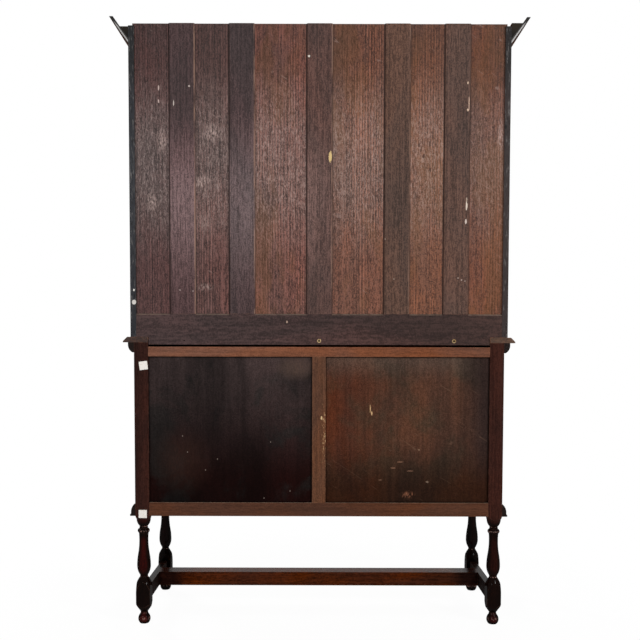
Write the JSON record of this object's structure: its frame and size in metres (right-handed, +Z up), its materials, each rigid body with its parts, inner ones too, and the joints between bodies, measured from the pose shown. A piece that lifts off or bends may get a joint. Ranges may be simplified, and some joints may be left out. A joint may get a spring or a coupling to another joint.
{
  "type": "kitchen dresser",
  "caption": "Oak kitchen dresser: a base on turned legs with stretchers, drawers over panelled cupboards, and a plate rack with a framed back and a splayed cornice.",
  "frame": {"origin": "on the floor, below the middle of the dresser's overall plan", "axes": "+Z up; -Y is the front with the drawers and doors, +Y is the framed back; +X is the right-hand side as seen from the front"},
  "size_m": [1.358, 0.496, 1.987],
  "materials": {
    "carcass_oak": "dark stain, polished",
    "panel_oak": "dark stain, dry",
    "back_frame_oak": "thin stain, dry",
    "rack_frame_oak": "dark stain, dry",
    "inner_wood": "bare, planed",
    "brass": "aged"
  },
  "bodies": {
    "carcass": {"leg_rear_right": "carcass_oak", "leg_rear_left": "carcass_oak", "leg_front_right": "carcass_oak", "leg_front_left": "carcass_oak", "stretcher_right": "carcass_oak", "stretcher_left": "carcass_oak", "stretcher_cross": "carcass_oak", "side_rails": "carcass_oak", "front_top_rail": "carcass_oak", "drawer_rail": "carcass_oak", "front_bottom_rail": "carcass_oak", "drawer_divider": "carcass_oak", "door_divider": "carcass_oak", "base_top": "carcass_oak", "top_moulding": "carcass_oak", "base_moulding": "carcass_oak", "rack_shelf_lower": "carcass_oak", "rack_shelf_upper": "carcass_oak", "rack_frieze": "carcass_oak", "rack_side_right": "carcass_oak", "rack_side_left": "carcass_oak", "cornice_front": "carcass_oak", "cornice_right": "carcass_oak", "cornice_left": "carcass_oak", "side_panels": "panel_oak", "back_panel_right": "panel_oak", "back_panel_left": "panel_oak", "rack_panels": "panel_oak", "back_top_rail": "back_frame_oak", "back_bottom_rail": "back_frame_oak", "back_muntin": "back_frame_oak", "rack_muntins": "rack_frame_oak", "rack_rail": "rack_frame_oak", "rack_roof": "rack_frame_oak", "cornice_blocks": "rack_frame_oak", "cupboard_floor": "inner_wood", "floor_bearers": "inner_wood", "drawer_runners": "inner_wood", "drawer_guides": "inner_wood", "rack_screws": "brass", "hinge_fixed_leaves": "brass", "hinge_pins": "brass"},
    "drawer_right": {"drawer_right_front": "carcass_oak", "drawer_right_box": "inner_wood", "drawer_right_plate": "brass"},
    "door_right": {"door_right_frame": "carcass_oak", "door_right_panel": "panel_oak", "door_right_hinges": "brass", "door_right_plate": "brass"},
    "pull_drawer_right": {"drawer_right_drop": "brass"},
    "pull_door_right": {"door_right_drop": "brass"},
    "drawer_left": {"drawer_left_front": "carcass_oak", "drawer_left_box": "inner_wood", "drawer_left_plate": "brass"},
    "door_left": {"door_left_frame": "carcass_oak", "door_left_panel": "panel_oak", "door_left_hinges": "brass", "door_left_plate": "brass"},
    "pull_drawer_left": {"drawer_left_drop": "brass"},
    "pull_door_left": {"door_left_drop": "brass"}
  },
  "joints": [
    {"name": "drawer_right_slide", "type": "slide", "parent": "carcass", "child": "drawer_right", "axis": [0, -1, 0], "range_m": [0, 0.3]},
    {"name": "door_right_hinge", "type": "hinge", "parent": "carcass", "child": "door_right", "pos_m": [0.55985, -0.2153, 0.5805], "axis": [0, 0, 1], "range_deg": [0, 150]},
    {"name": "drawer_right_pull", "type": "hinge", "parent": "drawer_right", "child": "pull_drawer_right", "pos_m": [0.293, -0.224, 0.854], "axis": [-1, 0, 0], "range_deg": [0, 80]},
    {"name": "door_right_pull", "type": "hinge", "parent": "door_right", "child": "pull_door_right", "pos_m": [0.054, -0.224, 0.5945], "axis": [-1, 0, 0], "range_deg": [0, 80]},
    {"name": "drawer_left_slide", "type": "slide", "parent": "carcass", "child": "drawer_left", "axis": [0, -1, 0], "range_m": [0, 0.3]},
    {"name": "door_left_hinge", "type": "hinge", "parent": "carcass", "child": "door_left", "pos_m": [-0.55985, -0.2153, 0.5805], "axis": [0, 0, -1], "range_deg": [0, 150]},
    {"name": "drawer_left_pull", "type": "hinge", "parent": "drawer_left", "child": "pull_drawer_left", "pos_m": [-0.293, -0.224, 0.854], "axis": [-1, 0, 0], "range_deg": [0, 80]},
    {"name": "door_left_pull", "type": "hinge", "parent": "door_left", "child": "pull_door_left", "pos_m": [-0.054, -0.224, 0.5945], "axis": [-1, 0, 0], "range_deg": [0, 80]}
  ]
}
